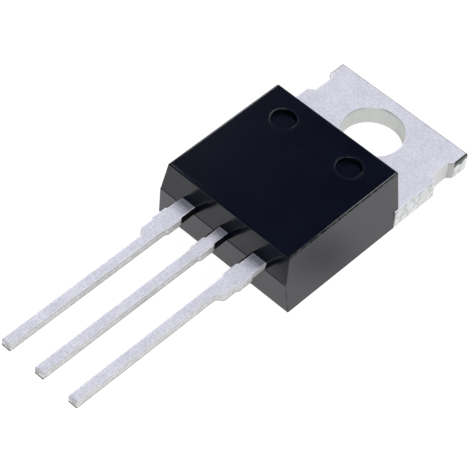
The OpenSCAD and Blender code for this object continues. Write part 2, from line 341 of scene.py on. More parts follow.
def leaning_block():
    """The block with its leaning walls and its overhang, all edges sharp."""
    block = start_block("moulding", (-half_w, front_y, 0), (half_w, shoulder_y, crown_z))
    edit(block)
    for z in (tab_t, parting_z):
        choose_all()
        cut_at((0, 0, z), (0, 0, 1))
    choose("FACE", lambda f: f.normal.y > FACING and middle(f).z > tab_t)
    pull((0, OVERHANG, 0))
    for z in (tab_t, parting_z, crown_z):
        choose("VERT", lambda v: near(middle(v).z, z))
        stretch((1 - z * SIDE_LEAN / half_w, 1, 1), (0, 0, 0))
    for z in (parting_z, crown_z):
        choose("VERT", lambda v: near(middle(v).z, z) and near(middle(v).y, back_y))
        shift((0, (tab_t - z) * BACK_LEAN, 0))
    choose("VERT", lambda v: near(middle(v).z, crown_z) and near(middle(v).y, front_y))
    shift((0, (crown_z - parting_z) * FRONT_LEAN, 0))
    for z in (0, tab_t):
        choose("VERT", lambda v: near(middle(v).z, z) and near(middle(v).y, front_y))
        shift((0, (parting_z - z) * UNDER_LEAN, 0))
    settle()
    tidy_faces(block)
    return block


moulding = leaning_block()
report(moulding, "plain block")

# %% [markdown]
# The mould was cut with a round tool, so the edges of the top and the two rear corners of
# the top half are rounded. The front corners are only just broken. The order matters to a
# bevel: the rear corners go first, so that the round of the top runs on round them, and
# the front corners go last, because the top meets there as a plain mitre.
# The two halves of a mould never meet perfectly. The lower half prints a trace further out
# than the upper one, which leaves a hair-thin step along the front. The step is made
# after the rounding: one cut just above the parting line, and the cut's points are pushed in.

# %% Moulding: rounded edges and the parting step
REAR_R, REAR_STEPS = 0.12, 4
EDGE_R, EDGE_STEPS = 0.13, 5
CORNER_R, CORNER_STEPS = 0.05, 2
END_ZONE = 0.2                         # front and rear corners lie further from the shoulders
STEP_H, STEP_IN = 0.008, 0.035
FRONT_ZONE = 0.6                       # the front's faces and points lie within this depth
HAIR = 0.001                           # tells heights apart where NEAR is too coarse


def round_the_block(block):
    """Rounds the corners and the top, and cuts the step at the parting line."""
    edit(block)
    round_over(REAR_R, REAR_STEPS, lambda e: (
        upright(e) and sharp(e) and middle(e).y > shoulder_y + END_ZONE))
    round_over(EDGE_R, EDGE_STEPS, lambda e: level(e, crown_z) and sharp(e))
    round_over(CORNER_R, CORNER_STEPS, lambda e: (
        upright(e) and sharp(e) and middle(e).y < shoulder_y - END_ZONE))
    step_z = parting_z + STEP_H
    choose("FACE", lambda f: middle(f).y < front_y + FRONT_ZONE)
    cut_at((0, 0, step_z), (0, 0, 1))
    choose("VERT", lambda v: near(middle(v).z, step_z, HAIR) and middle(v).y < front_y + FRONT_ZONE)
    shift((0, STEP_IN, 0))
    settle()


round_the_block(moulding)
report(moulding, "rounded")

# %% [markdown]
# ## The leads
# The three leads are punched from one copper strip. A lead could be an outline that is
# extruded upwards, but its stations are easier to read when it is grown like a plant: it
# starts as a short block at the tip, and its end face is extruded from station to station
# towards the moulding. A station gives the place along Y and the two edges there. The
# flat bands are merged at the end, so that nothing is left for the rounding to trip over.

# %% Leads: growing from the tip
PIN_HALF = 0.33
NECK_OUT = 0.71                        # outer edge of the neck, from the pin's middle
STUB = 0.1                             # how far the cut tie bar stands out
STUB_START, STUB_L = 1.0, 1.18         # where the stub begins in front of the moulding, its length
RAMP_L = 0.06                          # length of the slopes at both ends of a stub or a post
SHOULDER_L, SHOULDER_SLOPE = 3.13, 0.35
POST_INSET, POST_L, POST_HALF = 0.5, 1.9, 1.05


def grow(obj, stations):
    """Extrudes the selected end face through stations of (y, left, right)."""
    for y, left, right in stations:
        mesh = bmesh.from_edit_mesh(obj.data)
        ends = [v.co for v in mesh.verts if v.select]
        old_l, old_r = min(p.x for p in ends), max(p.x for p in ends)
        old_y = sum(p.y for p in ends) / len(ends)
        pull((0, y - old_y, 0))
        stretch(((right - left) / (old_r - old_l), 1, 1), ((old_l + old_r) / 2, y, 0))
        shift(((left + right - old_l - old_r) / 2, 0, 0))


def tie_bar_stations(left, right):
    """Both edges step out where the tie bar was cut off."""
    start = front_y - STUB_START - STUB_L
    end = front_y - STUB_START
    return [(start, left, right), (start + RAMP_L, left - STUB, right + STUB),
            (end - RAMP_L, left - STUB, right + STUB), (end, left, right)]


def outer_lead(name, side):
    """A lead beside the middle one: side is -1 on the left and 1 on the right."""
    centre = side * pitch

    def span(inner, outer):
        return tuple(sorted((centre + side * inner, centre + side * outer)))

    pin = span(-PIN_HALF, PIN_HALF)
    neck = span(-PIN_HALF, NECK_OUT)
    post = span(-POST_HALF, POST_HALF)
    slope_y = front_y - SHOULDER_L - SHOULDER_SLOPE
    post_y = front_y + POST_INSET
    lead = start_block(name, (pin[0], tip_y, parting_z), (pin[1], slope_y, lead_top))
    edit(lead)
    choose("FACE", lambda f: f.normal.y > FACING)
    grow(lead, [(front_y - SHOULDER_L, *neck), *tie_bar_stations(*neck), (post_y, *neck),
                (post_y + RAMP_L, *post), (post_y + POST_L, *post)])
    settle()
    tidy_faces(lead)
    report(lead, "plain strip")
    return lead


cathode = outer_lead("cathode_pin_lead", -1)
gate = outer_lead("gate_pin_lead", 1)

# %% [markdown]
# A punch rolls the strip's top edge over as it enters and leaves a small burr where it
# breaks through. The top outline and the corners get one round together, because a bevel
# meets itself cleanly where all edges at a corner have the same radius. The tip, which a
# second tool cut, is rolled first and widest.

# %% Leads: rolled edges
TIP_R, TIP_STEPS = 0.12, 6
ROLL_R, ROLL_STEPS = 0.07, 3
BURR_R, BURR_STEPS = 0.015, 2


def roll_strip(low, high, where):
    """Rolls a punched strip between two heights, for the edges whose middle passes a test."""
    round_over(TIP_R, TIP_STEPS, lambda e: level(e, high) and near(middle(e).y, tip_y) and sharp(e))
    round_over(ROLL_R, ROLL_STEPS, lambda e: sharp(e) and not level(e, low) and where(middle(e)))
    round_over(BURR_R, BURR_STEPS, lambda e: sharp(e) and level(e, low) and where(middle(e)))


for lead in (cathode, gate):
    edit(lead)
    roll_strip(parting_z, lead_top, lambda spot: True)
    settle()
    report(lead, "rolled")

# %% [markdown]
# ## The tab and the middle lead
# The metal tab, the header inside the resin and the middle lead are one piece of copper.
# It starts as the bare tab, and the parts in front of it are pulled out of its front face
# one after the other, so that the piece stays one closed mesh without any joining.
# The tab itself is a block with two notches that narrow it beside the hole: it is cut at
# four stations, and the points between them are moved in.

# %% Tab: outline with its notches
WAIST_HALF = 4.65                      # half the width between the notches
EAR_HALF = 4.93                        # half the width of the free end
EAR_L = 1.15
WAIST_L, WAIST_SLOPE = 1.3, 0.32
tab_half = tab_high.x
ear_y = tab_high.y - EAR_L
waist_y = ear_y - 2 * WAIST_SLOPE - WAIST_L


def notched_tab():
    """The bare tab, with all edges sharp and no hole yet."""
    tab = start_block("tab_with_middle_lead", (-tab_half, shoulder_y, 0), (tab_half, tab_high.y, tab_t))
    edit(tab)
    for y in (waist_y, waist_y + WAIST_SLOPE, ear_y - WAIST_SLOPE, ear_y):
        choose_all()
        cut_at((0, y, 0), (0, 1, 0))
    waist_end = ear_y - WAIST_SLOPE / 2
    choose("VERT", lambda v: waist_y + WAIST_SLOPE / 2 < middle(v).y < waist_end)
    stretch((WAIST_HALF / tab_half, 1, 1), (0, 0, 0))
    choose("VERT", lambda v: middle(v).y > waist_end)
    stretch((EAR_HALF / tab_half, 1, 1), (0, 0, 0))
    settle()
    return tab


tab = notched_tab()
report(tab, "notched")

# %% [markdown]
# Behind the resin's front wall the tab goes on as the header, the thick plate that carries
# the silicon. A press thinned its rim from below into a ledge that the resin grips, and cut
# a V-shaped groove across its top that keeps damp out. Both are hidden in the resin, which
# is cut out round the same forms later, so the metal has them too. The front face is divided
# first. The field above the ledge is pulled further than the rest, and the middle line of
# the groove is pushed down.

# %% Tab: header, ledge and groove
SLUG_HALF = 4.3                        # half the width of the header
SLUG_INSET = 1.6                       # how far its front stays behind the resin's front
LEDGE_W, LEDGE_Z = 0.35, 0.65
GROOVE_W, GROOVE_INSET = 0.6, 0.75
pad_half = SLUG_HALF - LEDGE_W         # half the width of the full-height field
slug_y = front_y + SLUG_INSET


def on_face_at(y):
    """A test for the faces that look forwards at a station."""
    return lambda f: f.normal.y < -FACING and near(middle(f).y, y)


def divide_front():
    """Draws the outlines of the header and its ledge on the tab's front face."""
    for x in (-SLUG_HALF, -pad_half, pad_half, SLUG_HALF):
        choose("FACE", on_face_at(shoulder_y))
        cut_at((x, 0, 0), (1, 0, 0))
    choose("FACE", on_face_at(shoulder_y))
    cut_at((0, 0, LEDGE_Z), (0, 0, 1))


def pull_header(tab):
    """Pulls the header with its ledge out of the tab and presses the groove."""
    edit(tab)
    divide_front()
    choose("FACE", lambda f: on_face_at(shoulder_y)(f) and abs(middle(f).x) < SLUG_HALF
           and (middle(f).z > LEDGE_Z or abs(middle(f).x) < pad_half))
    pull((0, slug_y + LEDGE_W - shoulder_y, 0))
    choose("FACE", lambda f: on_face_at(slug_y + LEDGE_W)(f) and middle(f).z > LEDGE_Z)
    pull((0, -LEDGE_W, 0))
    groove_y = shoulder_y - GROOVE_INSET
    for y in (groove_y - GROOVE_W / 2, groove_y, groove_y + GROOVE_W / 2):
        choose("FACE", lambda f: f.normal.z > FACING and middle(f).y < shoulder_y)
        cut_at((0, y, 0), (0, 1, 0))
    choose("VERT", lambda v: near(middle(v).y, groove_y) and near(middle(v).z, tab_t))
    shift((0, 0, -GROOVE_W / 2))
    settle()


pull_header(tab)
report(tab, "with header")

# %% [markdown]
# The strap leaves the header's front face, turns up steeply and turns back level at the
# height of the leads. Spin extrudes a face round an axis, which is just what a press
# brake does to a strip, so each bend is one spin. Spin can leave faces inside out, so
# they are all turned outwards in the next step.

# %% Tab: strap and middle lead
STRAP_HALF = 0.8
STRAP_ANGLE = math.radians(75)
STRAP_R = 0.45
STRAP_END_L = 0.3                      # level stretch after the second bend
BEND_STEPS = 6
strap_drop = lead_top - tab_t
strap_flat = (strap_drop - 2 * STRAP_R * (1 - math.cos(STRAP_ANGLE))) / math.sin(STRAP_ANGLE)
strap_run = 2 * STRAP_R * math.sin(STRAP_ANGLE) + strap_flat * math.cos(STRAP_ANGLE)
strap_y = slug_y - strap_run


def spin_selected(centre, angle):
    """Bends the selected face out round an axis along X."""
    bpy.ops.mesh.spin(steps=BEND_STEPS, angle=angle, center=centre, axis=(1, 0, 0), dupli=False)


def selected_y():
    """The mean place along Y of the selected points."""
    mesh = bmesh.from_edit_mesh(bpy.context.object.data)
    places = [v.co.y for v in mesh.verts if v.select]
    return sum(places) / len(places)


def pull_strap():
    """Bends the strap up from the header, and leaves its end face selected."""
    foot_z = tab_t - lead_t
    for point, normal in (((-STRAP_HALF, 0, 0), (1, 0, 0)), ((STRAP_HALF, 0, 0), (1, 0, 0)),
                          ((0, 0, foot_z), (0, 0, 1))):
        choose("FACE", on_face_at(slug_y))
        cut_at(point, normal)
    choose("FACE", lambda f: on_face_at(slug_y)(f) and abs(middle(f).x) < STRAP_HALF
           and middle(f).z > foot_z)
    spin_selected((0, slug_y, tab_t - lead_t / 2 + STRAP_R), STRAP_ANGLE)
    pull((0, -strap_flat * math.cos(STRAP_ANGLE), strap_flat * math.sin(STRAP_ANGLE)))
    spin_selected((0, strap_y, lead_top - lead_t / 2 - STRAP_R), -STRAP_ANGLE)
    print(f"the strap ends at y {selected_y():.3f} and should end at {strap_y:.3f}")


def grow_middle_lead(tab):
    """Grows the middle lead from the strap's end to the tip."""
    edges = (-PIN_HALF, PIN_HALF)
    end_y = strap_y - STRAP_END_L
    way = [(end_y, -STRAP_HALF, STRAP_HALF), (end_y - RAMP_L, *edges)]
    grow(tab, [*way, *reversed(tie_bar_stations(*edges)), (tip_y, *edges)])


edit(tab)
pull_strap()
grow_middle_lead(tab)
settle()
report(tab, "with strap and lead")

# %% [markdown]
# The hole is punched while all edges are still sharp, because a cut through flat faces
# can't go wrong. The flat faces are merged first, and one cut through the hole's axis
# keeps the hole out of the middle of any face: a face can't have a hole of its own.
# Then the edges are rolled. The thick tab rolls over much further than the thin leads,
# but the corners of its outline stay crisp.

# %% Tab: hole and rolled edges
TAB_ROLL_R, TAB_ROLL_STEPS = 0.14, 5
TAB_CORNER_R, TAB_CORNER_STEPS = 0.04, 2
HOLE_ROLL_R, HOLE_ROLL_STEPS = 0.06, 3
TAB_BURR_R, TAB_BURR_STEPS = 0.03, 2
HOLE_SIDES = 96
HOLE_ZONE = 0.1                        # what is nearer to the hole's wall than this is its rim
SLIVER = 0.01                          # less than any step of the shape
STRAP_CLEAR = 0.5                      # the rolls start this far in front of the strap's bend
hole_r = hole["dims"]["r_mm"]


def from_hole(spot):
    """How far a spot is outside the hole's wall."""
    return Vector(spot.xy).length - hole_r


def punch_hole(tab):
    """Merges the flat faces and punches the mounting hole."""
    tidy_faces(tab)
    edit(tab)
    choose("FACE", lambda f: middle(f).y > slug_y)
    cut_at((0, 0, 0), (1, 0, 0))
    punch = start_pin((0, 0, tab_t / 2), hole_r, 3 * tab_t, HOLE_SIDES)
    combine(tab, punch, "DIFFERENCE")


def tab_outline(edge):
    """True for a sharp edge of the tab's outline outside the resin."""
    places = [v.co.y for v in edge.verts]
    outside = min(places) > shoulder_y - SLIVER and max(places) > shoulder_y + SLIVER
    return outside and sharp(edge) and from_hole(middle(edge)) > HOLE_ZONE


def roll_tab(tab):
    """Rolls the tab's top outline and its hole, and breaks its corners and its lower edges."""
    edit(tab)
    round_over(TAB_ROLL_R, TAB_ROLL_STEPS, lambda e: tab_outline(e) and level(e, tab_t))
    round_over(TAB_CORNER_R, TAB_CORNER_STEPS, lambda e: tab_outline(e) and upright(e))
    round_over(HOLE_ROLL_R, HOLE_ROLL_STEPS, lambda e: (
        level(e, tab_t) and sharp(e) and from_hole(middle(e)) < HOLE_ZONE))
    round_over(TAB_BURR_R, TAB_BURR_STEPS, lambda e: (
        level(e, 0) and sharp(e) and middle(e).y > shoulder_y + SLIVER))
    roll_strip(parting_z, lead_top, lambda spot: spot.y < strap_y - STRAP_CLEAR)
    settle()


punch_hole(tab)
report(tab, "punched")
roll_tab(tab)
report(tab, "rolled")

# %% [markdown]
# ## Resin round the metal
# The resin takes the shape of what it was poured round. A little of it also crept along
# the edges of the necks that face each other and set as thin skins, which are joined to
# the block first. Copies of the sealed CAD pieces then serve as cores: each is cut out of
# the block. A CAD mesh comes as loose triangles, so the copy's doubled points are merged.
# A boolean is unsure about two faces in one plane, and here many pieces touch, so every
# core is also made four thousandths of a millimetre thicker. All its faces then pass
# clearly through what they cut.

# %% Moulding: skins and cores
SKIN_T = 0.05
SKIN_REACH = 0.3                       # how far a skin runs into the block
SKIN_PLAY = 0.006                      # how much lower than the lead a skin is, above and below
PLAY = 0.004                           # how much thicker a core is than its piece
CORE_WELD = 0.001                      # doubled points of a CAD mesh are closer than this
CORES = ("anode_tab", "cathode_lead", "gate_lead", "die_solder", "silicon_die", "cathode_wires",
         "gate_wire")


def resin_skins(block):
    """Thin skins of resin on the edges of the necks that face each other."""
    skin_y = front_y - STUB_START + RAMP_L
    for side in (-1, 1):
        for edge, way in ((PIN_HALF, 1), (pitch - PIN_HALF, -1)):
            left, right = sorted((side * (edge - way * SKIN_T), side * (edge + way * SKIN_T)))
            skin = start_block("skin", (left, skin_y, parting_z + SKIN_PLAY),
                               (right, front_y + SKIN_REACH, lead_top - SKIN_PLAY))
            combine(block, skin, "UNION")


def core_from(node):
    """A closed copy of a CAD piece in millimetres, a trace thicker than the piece."""
    core = frame["nodes"][node].copy()
    core.data = core.data.copy()
    core.name = core.data.name = "core_" + node
    core.parent = None
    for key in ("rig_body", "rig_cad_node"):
        del core[key]
    bpy.context.scene.collection.objects.link(core)
    rescale(core, 1 / MM)
    edit(core)
    choose_all()
    bpy.ops.mesh.remove_doubles(threshold=CORE_WELD)
    settle()
    tidy_faces(core)
    edit(core)
    choose_all()
    bpy.ops.transform.shrink_fatten(value=PLAY, use_even_offset=True)
    settle()
    return core


resin_skins(moulding)
report(moulding, "with skins")
for node in CORES:
    combine(moulding, core_from(node), "DIFFERENCE")
    report(moulding, "cut by " + node)

# %% [markdown]
# Two pins pushed the block out of the mould and left round pockets near the back. The hot
# resin swelled a little round each pin, so every pocket has a low lip. A shallow disc is
# cut into the top and its floor is lifted back again, which leaves a clean circle drawn
# in the flat face. That circle is then pulled up for the lip and down for the pocket.

# %% Moulding: ejector marks
MARK_DEPTH = 0.25
MARK_INSET = 2.05                      # from the foot of the back end to the marks
MARK_SPACING = 5.0
MARK_SIDES = 72
MARK_WELD = 0.0005                     # the lifted circle's doubled points are closer than this
SCORE = 0.05                           # depth of the first cut, which is filled again
CENTRE_ZONE = 0.1                      # a disc's middle is nearer to the mark's axis than this
MARK_PROFILE = [                       # radius and height from the flat top, outside to inside
    (0.90, 0), (0.86, 0.3 * LIP_H), (0.82, 0.8 * LIP_H), (0.79, LIP_H), (0.765, 0.7 * LIP_H),
    (0.75, -0.01), (0.742, -MARK_DEPTH + 0.03), (0.715, -MARK_DEPTH)]


def draw_circle(block, place, radius):
    """Draws a circle in the block's flat top, as the outline of a face."""
    combine(block, start_pin(place, radius, 2 * SCORE, MARK_SIDES), "DIFFERENCE")
    edit(block)
    choose("VERT", lambda v: near(middle(v).z, crown_z - SCORE, HAIR) and (
        (middle(v) - Vector(place)).xy.length < radius + SLIVER))
    shift((0, 0, SCORE))
    choose_all()
    bpy.ops.mesh.remove_doubles(threshold=MARK_WELD)


def press_mark(block, place):
    """Raises the lip and sinks the pocket of one mark."""
    radius, height = MARK_PROFILE[0]
    draw_circle(block, place, radius)
    choose("FACE", lambda f: f.normal.z > FACING and near(middle(f).z, crown_z, HAIR) and (
        len(f.verts) == MARK_SIDES and (middle(f) - Vector(place)).xy.length < CENTRE_ZONE))
    for wide, high in MARK_PROFILE[1:]:
        pull((0, 0, high - height))
        stretch((wide / radius, wide / radius, 1), place)
        radius, height = wide, high
    settle()


for side in (-1, 1):
    press_mark(moulding, (side * MARK_SPACING / 2, back_y - MARK_INSET, crown_z))
report(moulding, "with ejector marks")

# %% [markdown]
# ## Shared effects
# The finishes share a few effects: a fine grain, sparse specks, the bands that a punch
# leaves on a cut edge, and the folds of broken metal. Each is a node group with named
# sockets, built once and placed in every finish with its own values. All of them take a
# vector in millimetres, which keeps the numbers readable.

# %% Node helpers


def feed(tree, socket, value):
    """Links a socket to an input, or writes a number there."""
    if isinstance(value, bpy.types.NodeSocket):
        tree.links.new(value, socket)
    else:
        socket.default_value = value


def add(tree, kind, **values):
    """Adds a node. Values name its properties or its inputs, with _ for a space."""
    node = tree.nodes.new("ShaderNode" + kind)
    for name, value in values.items():
        if hasattr(node, name):
            setattr(node, name, value)
        else:
            feed(tree, node.inputs[name.replace("_", " ")], value)
    return node


def ramp(tree, value, low, high, out_low=0.0, out_high=1.0):
    """Maps a value between two limits, smoothly, and returns the output socket."""
    return add(tree, "MapRange", interpolation_type="SMOOTHSTEP", Value=value, From_Min=low,
               From_Max=high, To_Min=out_low, To_Max=out_high).outputs["Result"]


def math_of(tree, operation, a, b=0.0, clamp=False):
    """One Math node. A number or a socket goes in, a socket comes out."""
    node = add(tree, "Math", operation=operation, use_clamp=clamp)
    for socket, value in zip(node.inputs, (a, b)):
        feed(tree, socket, value)
    return node.outputs[0]


def new_group(name, inputs, outputs):
    """Returns a new group's tree, its inputs and its outputs. A None input is a vector."""
    tree = bpy.data.node_groups.new(name, "ShaderNodeTree")
    for label, value in inputs.items():
        kind = "NodeSocketVector" if value is None else "NodeSocketFloat"
        socket = tree.interface.new_socket(name=label, in_out="INPUT", socket_type=kind)
        if value is not None:
            socket.default_value = value
    for label in outputs:
        tree.interface.new_socket(name=label, in_out="OUTPUT", socket_type="NodeSocketFloat")
    return tree, tree.nodes.new("NodeGroupInput").outputs, tree.nodes.new("NodeGroupOutput").inputs


# %% [markdown]
# Grain is the fine unevenness of every surface here, resin and tin alike. A single noise
# looks like static. Two sizes together, a fine one for the grain and a slow one for the
# clouds in it, look like a real surface, and each finish mixes them as it needs.

# %% Group: grain


def make_grain():
    """Fine grain and slow clouds, both values round a half."""
    tree, given, result = new_group("grain", {"Vector": None, "Fine per mm": 12.0,
                                              "Cloud per mm": 0.6}, ["Fine", "Cloud"])
    fine = add(tree, "TexNoise", Vector=given["Vector"], Scale=given["Fine per mm"],
               Detail=3.0, Roughness=0.6)
    cloud = add(tree, "TexNoise", Vector=given["Vector"], Scale=given["Cloud per mm"],
                Detail=2.0, Roughness=0.5)
    tree.links.new(fine.outputs["Fac"], result["Fine"])
    tree.links.new(cloud.outputs["Fac"], result["Cloud"])
    return tree


GRAIN = make_grain()
print("group", GRAIN.name)

# %% [markdown]
# Specks are the dust and filler that show on black resin. A threshold on noise gives
# blots, so a cell pattern is used instead: each cell has a random colour, one channel of
# it decides whether the cell has a speck at all, and another how large it is.

# %% Group: specks
SPECK_R = 0.22                         # the largest speck, as a share of a cell
SPECK_SOFTNESS = 12.0                  # how steeply its edge rises


def make_specks():
    """Sparse round specks of uneven size."""
    tree, given, result = new_group("specks", {"Vector": None, "Per mm": 3.0, "Share": 0.1}, ["Mask"])
    cells = add(tree, "TexVoronoi", Vector=given["Vector"], Scale=given["Per mm"])
    split = add(tree, "SeparateColor", Color=cells.outputs["Color"])
    chosen = math_of(tree, "LESS_THAN", split.outputs[0], given["Share"])
    size = math_of(tree, "MULTIPLY", split.outputs[1], SPECK_R)
    inside = math_of(tree, "SUBTRACT", size, cells.outputs["Distance"])
    soft = math_of(tree, "MULTIPLY", inside, SPECK_SOFTNESS, clamp=True)
    tree.links.new(math_of(tree, "MULTIPLY", chosen, soft), result["Mask"])
    return tree


SPECKS = make_specks()
print("group", SPECKS.name)

# %% [markdown]
# A punch cuts the first part of the strip's thickness and rubs it with streaks, and the
# rest breaks and stays rough. The border between the two is wavy. The height over the
# strip's bottom tells them apart, and a slow noise that is added to it makes the waves.
# The streaks are a noise too, drawn out along Z by reading Z at a small scale.

# %% Group: punched edge
STREAK_STRETCH = 0.12                  # the scale of Z in the streaks
STREAKS_PER_MM, WAVES_PER_MM = 9.0, 2.2
WAVE_SWING = 0.6                       # swing of the border, as a share of the thickness
TEAR_BLUR = 0.06                       # half the width over which the two bands blend


def make_punched_edge():
    """Streaks along the punch's way, a mask of the torn band, and the height from 0 to 1."""
    tree, given, result = new_group("punched_edge", {"Vector": None, "Bottom": 0.0, "Thickness": 1.0,
                                                     "Tear": 0.4}, ["Streaks", "Torn", "Height"])
    x, y, z = add(tree, "SeparateXYZ", Vector=given["Vector"]).outputs
    height = math_of(tree, "DIVIDE", math_of(tree, "SUBTRACT", z, given["Bottom"]),
                     given["Thickness"], clamp=True)
    flat = add(tree, "CombineXYZ", X=x, Y=y, Z=math_of(tree, "MULTIPLY", z, STREAK_STRETCH))
    streaks = add(tree, "TexNoise", Vector=flat.outputs[0], Scale=STREAKS_PER_MM, Detail=2.0)
    border = add(tree, "TexNoise", Vector=flat.outputs[0], Scale=WAVES_PER_MM, Detail=1.0)
    wavy = math_of(tree, "MULTIPLY", math_of(tree, "SUBTRACT", border.outputs["Fac"], 0.5), WAVE_SWING)
    above = math_of(tree, "SUBTRACT", math_of(tree, "ADD", height, wavy), given["Tear"])
    tree.links.new(streaks.outputs["Fac"], result["Streaks"])
    tree.links.new(ramp(tree, above, -TEAR_BLUR, TEAR_BLUR, 1.0, 0.0), result["Torn"])
    tree.links.new(height, result["Height"])
    return tree


PUNCHED = make_punched_edge()
print("group", PUNCHED.name)

# %% [markdown]
# Where thick metal breaks, its face is made of small cells with fine dark folds between
# them. The distance to a cell's edge, which the Voronoi texture gives, is small just there.

# %% Group: folds
FOLD_W = 0.16                          # reach of a fold, as a share of a cell


def make_folds():
    """Fine lines between the cells of broken metal."""
    tree, given, result = new_group("folds", {"Vector": None, "Per mm": 1.3}, ["Line"])
    cells = add(tree, "TexVoronoi", feature="DISTANCE_TO_EDGE", Vector=given["Vector"],
                Scale=given["Per mm"])
    tree.links.new(ramp(tree, cells.outputs["Distance"], 0.0, FOLD_W, 1.0, 0.0), result["Line"])
    return tree


FOLDS = make_folds()
print("group", FOLDS.name)

# %% [markdown]
# ## Finishes
# Every finish starts from a Principled shader. Its fixed numbers, such as the index of
# refraction, sit on the shader itself. What changes over the surface comes from the
# groups. The patterns read Object coordinates, so they stay on a piece wherever it goes.

# %% Starting a finish


def new_finish(name, **fixed):
    """A material, its tree, its Principled shader and a vector in millimetres."""
    material = bpy.data.materials.new(name)
    material.use_nodes = True
    tree = material.node_tree
    shader = tree.nodes["Principled BSDF"]
    for label, value in fixed.items():
        shader.inputs[label].default_value = value
    place = add(tree, "TexCoord")
    scaled = add(tree, "Mapping", Vector=place.outputs["Object"], Scale=(1 / MM, 1 / MM, 1 / MM))
    return material, tree, shader, scaled.outputs[0]


def use_group(tree, group, **values):
    """Places a node group with its own values and returns its outputs."""
    return add(tree, "Group", node_tree=group, **values).outputs


def blend_colours(tree, share, a, b):
    """Mixes two colours or colour sockets by a share and returns the socket."""
    node = add(tree, "Mix", data_type="RGBA", Factor=share)
    for socket, value in ((node.inputs[6], a), (node.inputs[7], b)):
        feed(tree, socket, (*value, 1) if isinstance(value, tuple) else value)
    return node.outputs[2]


def bump(tree, shader, height, strength, depth):
    """Feeds a height to the shader's normal. Depth is in millimetres."""
    node = add(tree, "Bump", Strength=strength, Distance=depth * MM, Height=height)
    tree.links.new(node.outputs["Normal"], shader.inputs["Normal"])


# %% [markdown]
# The resin is black epoxy with mineral filler. Where it left the polished mould it is
# glossy and nearly even. Its edges rub against others in the box and turn grey in patches;
# only the rounds on the lit side get that grey, so it is also a painted highlight. The walls
# of the ejector marks are dull, and so are the skins between the leads, whose near-black
# finish paints the shade beside the necks. One function makes them all: two close shades in
# slow clouds, a few pale specks, and a roughness that varies with the grain. Pure black would
# lose all shape, so the resin is a very deep blue.

# %% Finish: black resin
RESIN_DARK, RESIN_PALE = (0.0010, 0.0019, 0.0085), (0.0022, 0.0033, 0.0115)
DUST = (0.05, 0.05, 0.06)
DUST_SHARE = 0.25                      # how strongly a speck covers the resin
MIDDLE_GRAIN = (0.3, 0.7)              # the range that most of the grain's values fall in


def make_resin(name, dark, pale, smoothest, roughest, cloud_per_mm=0.45, ior=1.5):
    """Filled epoxy in clouds of two shades, with a roughness between two limits."""
    material, tree, shader, spot = new_finish(name, IOR=ior)
    grain = use_group(tree, GRAIN, Vector=spot, Fine_per_mm=16.0, Cloud_per_mm=cloud_per_mm)
    specks = use_group(tree, SPECKS, Vector=spot, Per_mm=2.6, Share=0.05)
    colour = blend_colours(tree, ramp(tree, grain["Cloud"], 0.35, 0.7), dark, pale)
    dusty = math_of(tree, "MULTIPLY", specks["Mask"], DUST_SHARE)
    rough = ramp(tree, grain["Fine"], *MIDDLE_GRAIN, smoothest, roughest)
    tree.links.new(blend_colours(tree, dusty, colour, DUST), shader.inputs["Base Color"])
    tree.links.new(rough, shader.inputs["Roughness"])
    bump(tree, shader, grain["Fine"], strength=0.25, depth=0.002)
    return material


RESIN = make_resin("black_resin", RESIN_DARK, RESIN_PALE, 0.12, 0.18)
# rubbed grey, only on the rounds of the lit side: wear and a painted highlight
RUBBED_HIGHLIGHT_EDGE = make_resin("rubbed_edge_and_painted_highlight", (0.006, 0.006, 0.008), (0.07, 0.07, 0.07), 0.2, 0.35,
                    cloud_per_mm=3.0)
RIM = make_resin("raised_mark_rim", (0.0030, 0.0042, 0.0125), (0.0045, 0.0058, 0.0155), 0.15, 0.22)
DULL_RIM = make_resin("dull_far_rim", RESIN_DARK, RESIN_PALE, 0.3, 0.45, ior=1.2)
# dull walls of the marks, and on the skins beside the necks a painted shade
DULL_WALL_AND_SKIN_SHADE = make_resin("dull_mark_wall_and_skin_shade", (0.0006, 0.0007, 0.0012), (0.001, 0.001, 0.002), 0.5, 0.7, ior=1.15)
print("resin finishes", [m.name for m in (RESIN, RUBBED_HIGHLIGHT_EDGE, RIM, DULL_RIM, DULL_WALL_AND_SKIN_SHADE)])

# %% [markdown]
# The copper is plated with matte tin. Its crystals scatter the light, so the plating is
# only half metallic: a full metal would mirror the dark room and turn grey. The rolls that
# look to the right or to the front, those of the waist and of the hole's right half get a
# near-white painted highlight, and the roll of the left ear a painted shade. The resin's
# gloss mirrors the leads, more brightly than real filled resin does. The Light Path node
# tells a mirrored view from a direct one, so the mirrored one is dimmed.

# %% Finish: tinned faces
BLACK = (0, 0, 0)


def dim_image(tree, colour, share):
    """Dims a colour where it is seen as a mirror image in the black gloss."""
    path = add(tree, "LightPath")
    return blend_colours(tree, math_of(tree, "MULTIPLY", path.outputs["Is Glossy Ray"], share),
                         colour, BLACK)


def make_plating(name, light, deep, metallic=0.5, image=0.0):
    """Matte tin: a fine grain of lighter and darker spots that also scatter the light."""
    material, tree, shader, spot = new_finish(name, Metallic=metallic)
    grain = use_group(tree, GRAIN, Vector=spot, Fine_per_mm=7.0, Cloud_per_mm=0.8)
    tone = math_of(tree, "ADD", math_of(tree, "MULTIPLY", grain["Fine"], 0.75),
                   math_of(tree, "MULTIPLY", grain["Cloud"], 0.25))
    colour = blend_colours(tree, ramp(tree, tone, 0.32, 0.68), deep, light)
    if image:
        colour = dim_image(tree, colour, image)
    tree.links.new(colour, shader.inputs["Base Color"])
    tree.links.new(ramp(tree, grain["Fine"], *MIDDLE_GRAIN, 0.40, 0.52), shader.inputs["Roughness"])
    bump(tree, shader, grain["Fine"], strength=0.4, depth=0.007)
    return material


PLATING = make_plating("matte_tin_face", (0.80, 0.785, 0.87), (0.62, 0.61, 0.69), image=0.42)
# painted shade: darker, more metallic tin on the roll of the left ear
SHADED = make_plating("shaded_roll", (0.40, 0.40, 0.42), (0.30, 0.30, 0.32), metallic=0.9)
